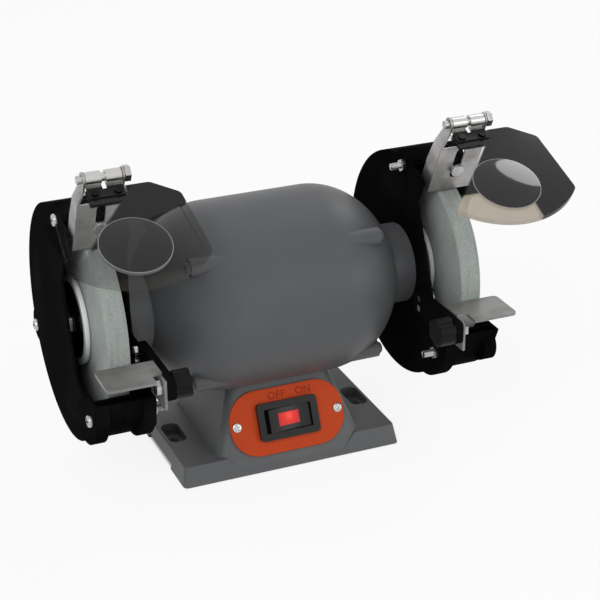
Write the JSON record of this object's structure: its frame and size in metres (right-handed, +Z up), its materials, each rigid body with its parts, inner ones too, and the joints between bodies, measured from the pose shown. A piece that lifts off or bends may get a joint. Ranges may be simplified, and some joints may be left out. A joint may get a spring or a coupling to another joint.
{
  "type": "bench grinder",
  "caption": "Double-ended bench grinder with guarded abrasive wheels, tilting eye shields, sliding spark brackets and tool rests, and a rocker switch on a cast pedestal base.",
  "frame": {"origin": "on the bench surface under the middle of the base, midway between the two wheels", "axes": "+X along the shaft to the operator's right, +Y to the back, +Z up"},
  "size_m": [0.3666, 0.2307, 0.2585],
  "materials": {
    "grey_paint": "satin grey paint",
    "black_paint": "satin black paint",
    "black_iron": "black",
    "zinc_steel": "zinc plated sheet",
    "bright_steel": "bright",
    "dark_screw": "blackened",
    "abrasive": "granular",
    "paper": "card",
    "laminations": "laminated",
    "copper": "varnished winding",
    "black_plastic": "matte",
    "orange_plastic": "matte",
    "red_lens": "translucent",
    "smoked_clear": "smoked clear plastic",
    "clear_lens": "clear",
    "foot_rubber": "matte",
    "can": "plain"
  },
  "bodies": {
    "frame": {"base": "grey_paint", "base_bottom_plate": "zinc_steel", "base_plate_screws": "bright_steel", "bearing_balls": "bright_steel", "bearing_outer_races": "bright_steel", "bracket_screws": "bright_steel", "cable_gland": "black_plastic", "capacitor": "can", "end_bell_left": "grey_paint", "end_bell_right": "grey_paint", "end_bell_screws": "bright_steel", "guard_cover_left": "black_paint", "guard_cover_right": "black_paint", "guard_inner_left": "black_paint", "guard_inner_right": "black_paint", "guard_nuts": "bright_steel", "guard_screws": "bright_steel", "guard_seat_screws": "bright_steel", "motor_base_screws": "bright_steel", "motor_shell": "grey_paint", "rest_arm_left": "black_iron", "rest_arm_right": "black_iron", "rest_arm_screws": "bright_steel", "rest_bolts": "bright_steel", "rubber_feet": "foot_rubber", "stator_core": "laminations", "stator_windings": "copper", "switch_housing": "black_plastic", "switch_plate": "orange_plastic", "switch_plate_screws": "bright_steel"},
    "rotor": {"shaft": "bright_steel", "rotor_core": "laminations", "bearing_inner_races": "bright_steel", "wheel_flanges_inner": "bright_steel", "grinding_wheel_left": "abrasive", "grinding_wheel_right": "abrasive", "wheel_blotters": "paper", "wheel_flanges_outer": "bright_steel", "wheel_nuts": "bright_steel"},
    "rocker": {"switch_rocker": "black_plastic", "rocker_window": "red_lens"},
    "bracket_left": {"spark_bracket_left": "zinc_steel", "shield_bolt_left": "bright_steel"},
    "shield_left": {"eye_shield_left": "smoked_clear", "magnifier_left": "clear_lens", "shield_clip_left": "zinc_steel", "shield_screws_left": "dark_screw"},
    "rest_left": {"tool_rest_left": "zinc_steel"},
    "knob_left": {"rest_knob_left": "black_plastic"},
    "bracket_right": {"spark_bracket_right": "zinc_steel", "shield_bolt_right": "bright_steel"},
    "shield_right": {"eye_shield_right": "smoked_clear", "magnifier_right": "clear_lens", "shield_clip_right": "zinc_steel", "shield_screws_right": "dark_screw"},
    "rest_right": {"tool_rest_right": "zinc_steel"},
    "knob_right": {"rest_knob_right": "black_plastic"}
  },
  "joints": [
    {"name": "rotor_spin", "type": "hinge", "parent": "frame", "child": "rotor", "pos_m": [0, 0, 0.125], "axis": [1, 0, 0], "continuous": true},
    {"name": "switch_rock", "type": "hinge", "parent": "frame", "child": "rocker", "pos_m": [0, -0.04502, 0.03536], "axis": [0, 0.4067, 0.9135], "range_deg": [-20, 0]},
    {"name": "bracket_left_slide", "type": "slide", "parent": "frame", "child": "bracket_left", "axis": [0, -0.4384, 0.8988], "range_m": [-0.0015, 0.006]},
    {"name": "shield_left_tilt", "type": "hinge", "parent": "bracket_left", "child": "shield_left", "pos_m": [-0.1355, -0.05867, 0.25326], "axis": [-1, 0, 0], "range_deg": [-5, 75]},
    {"name": "rest_left_slide", "type": "slide", "parent": "frame", "child": "rest_left", "axis": [0, 1, 0], "range_m": [-0.011, 0.0015]},
    {"name": "knob_left_turn", "type": "hinge", "parent": "frame", "child": "knob_left", "pos_m": [-0.1, -0.099, 0.111], "axis": [-1, 0, 0], "range_deg": [0, 360]},
    {"name": "bracket_right_slide", "type": "slide", "parent": "frame", "child": "bracket_right", "axis": [0, -0.4384, 0.8988], "range_m": [-0.0015, 0.006]},
    {"name": "shield_right_tilt", "type": "hinge", "parent": "bracket_right", "child": "shield_right", "pos_m": [0.1355, -0.05867, 0.25326], "axis": [-1, 0, 0], "range_deg": [-5, 75]},
    {"name": "rest_right_slide", "type": "slide", "parent": "frame", "child": "rest_right", "axis": [0, 1, 0], "range_m": [-0.011, 0.0015]},
    {"name": "knob_right_turn", "type": "hinge", "parent": "frame", "child": "knob_right", "pos_m": [0.1, -0.099, 0.111], "axis": [1, 0, 0], "range_deg": [0, 360]}
  ]
}
